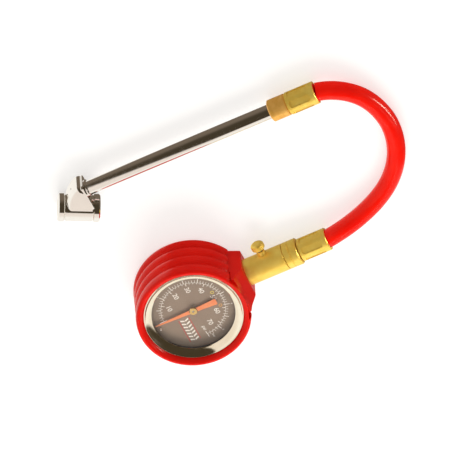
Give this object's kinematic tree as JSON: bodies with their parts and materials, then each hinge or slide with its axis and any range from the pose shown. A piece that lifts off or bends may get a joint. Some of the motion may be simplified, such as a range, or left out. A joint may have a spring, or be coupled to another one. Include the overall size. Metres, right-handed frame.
{
  "type": "tire pressure gauge",
  "caption": "Dial pressure gauge in a ribbed rubber boot, with a bleed button, a swivelling rubber hose, a straight metal tube and a dual-foot chuck for tire valves.",
  "frame": {"origin": "centre of the rubber boot's flat back face, on the dial's axis", "axes": "+Z out through the dial, +X out along the brass stem (the top of the dial), +Y towards the chrome tube"},
  "size_m": [0.2234, 0.1485, 0.0365],
  "materials": {
    "red_rubber": "satin moulded rubber",
    "red_hose": "glossy smooth rubber",
    "steel": "plain steel",
    "spring_steel": "bright spring wire",
    "bezel_metal": "polished pale gold plate",
    "lens_glass": "clear",
    "black_rubber": "matt",
    "dial_face": "printed dial, warm dark grey",
    "black_plastic": "matt",
    "pointer_orange": "orange enamel",
    "gilt": "polished gilt",
    "brass": "turned brass",
    "nut_brass": "turned brass, a redder alloy",
    "chrome": "polished chrome plate"
  },
  "bodies": {
    "gauge_body": {"boot": "red_rubber", "case": "steel", "bezel": "bezel_metal", "lens": "lens_glass", "lens_gasket": "black_rubber", "dial_plate": "dial_face", "dial_spacer": "black_plastic", "stop_pin": "steel", "socket": "brass", "case_screws": "steel", "bourdon_tube": "brass", "base_plate": "brass", "top_plate": "brass", "pillars": "brass", "pillar_screws": "steel", "movement_screws": "steel", "hairspring_stud": "steel", "hairspring": "spring_steel", "valve_body": "brass", "swivel_collar": "brass", "bleed_guide": "brass", "bleed_spring": "spring_steel"},
    "pointer_arbor": {"pointer": "pointer_orange", "pointer_hub": "gilt", "pinion_arbor": "steel"},
    "sector": {"sector_gear": "brass"},
    "link_bar": {"link": "brass"},
    "tube_tip_end": {"tube_tip": "brass"},
    "bleed_valve": {"bleed_button": "brass", "bleed_pin": "steel", "bleed_seal": "black_rubber"},
    "hose_assembly": {"swivel_stem": "brass", "swivel_oring": "black_rubber", "lower_ferrule": "brass", "hose_end_lower": "red_hose", "hose": "red_hose", "hose_end_upper": "red_hose", "upper_ferrule": "brass", "tube_nipple": "brass", "tube_nut": "nut_brass", "tube_olive": "brass", "tube": "chrome", "chuck_body": "chrome", "chuck_cap_front": "chrome", "chuck_cap_rear": "chrome", "chuck_seal_front": "black_rubber", "chuck_seal_rear": "black_rubber", "chuck_spring_front": "spring_steel", "chuck_spring_rear": "spring_steel"},
    "front_pin": {"depressor_pin_front": "steel"},
    "rear_pin": {"depressor_pin_rear": "steel"}
  },
  "joints": [
    {"name": "pointer", "type": "hinge", "parent": "gauge_body", "child": "pointer_arbor", "pos_m": [0, 0, 0.0275], "axis": [0, 0, -1], "range_deg": [0, 270], "stiffness_Nm_per_rad": 0.0002, "deforming": ["hairspring"]},
    {"name": "sector", "type": "hinge", "parent": "gauge_body", "child": "sector", "pos_m": [0.015, 0, 0.0197], "axis": [0, 0, -1], "range_deg": [-24.6, 0]},
    {"name": "link", "type": "hinge", "parent": "sector", "child": "link_bar", "pos_m": [0.02086, -0.00128, 0.0208], "axis": [0, 0, -1], "range_deg": [0, 24.6]},
    {"name": "tube_tip", "type": "hinge", "parent": "gauge_body", "child": "tube_tip_end", "pos_m": [-0.012, 0.01528, 0.0199], "axis": [0, 0, 1], "range_deg": [0, 4.9], "deforming": ["bourdon_tube"]},
    {"name": "bleed_button", "type": "slide", "parent": "gauge_body", "child": "bleed_valve", "axis": [0, -1, 0], "range_m": [0, 0.0015], "stiffness_N_per_m": 2000, "deforming": ["bleed_spring"]},
    {"name": "swivel", "type": "hinge", "parent": "gauge_body", "child": "hose_assembly", "pos_m": [0.072, 0, 0.01], "axis": [1, 0, 0], "continuous": true},
    {"name": "front_pin", "type": "slide", "parent": "hose_assembly", "child": "front_pin", "axis": [-0.8788, 0.4772, 0], "range_m": [0, 0.0015], "stiffness_N_per_m": 800, "deforming": ["chuck_spring_front"]},
    {"name": "rear_pin", "type": "slide", "parent": "hose_assembly", "child": "rear_pin", "axis": [0.8788, -0.4772, 0], "range_m": [0, 0.0015], "stiffness_N_per_m": 800, "deforming": ["chuck_spring_rear"]}
  ],
  "couplings": [
    {"joint": "sector", "follows": "pointer", "ratio": -0.090909},
    {"joint": "link", "follows": "pointer", "ratio": 0.090909},
    {"joint": "tube_tip", "follows": "pointer", "ratio": 0.018049}
  ]
}
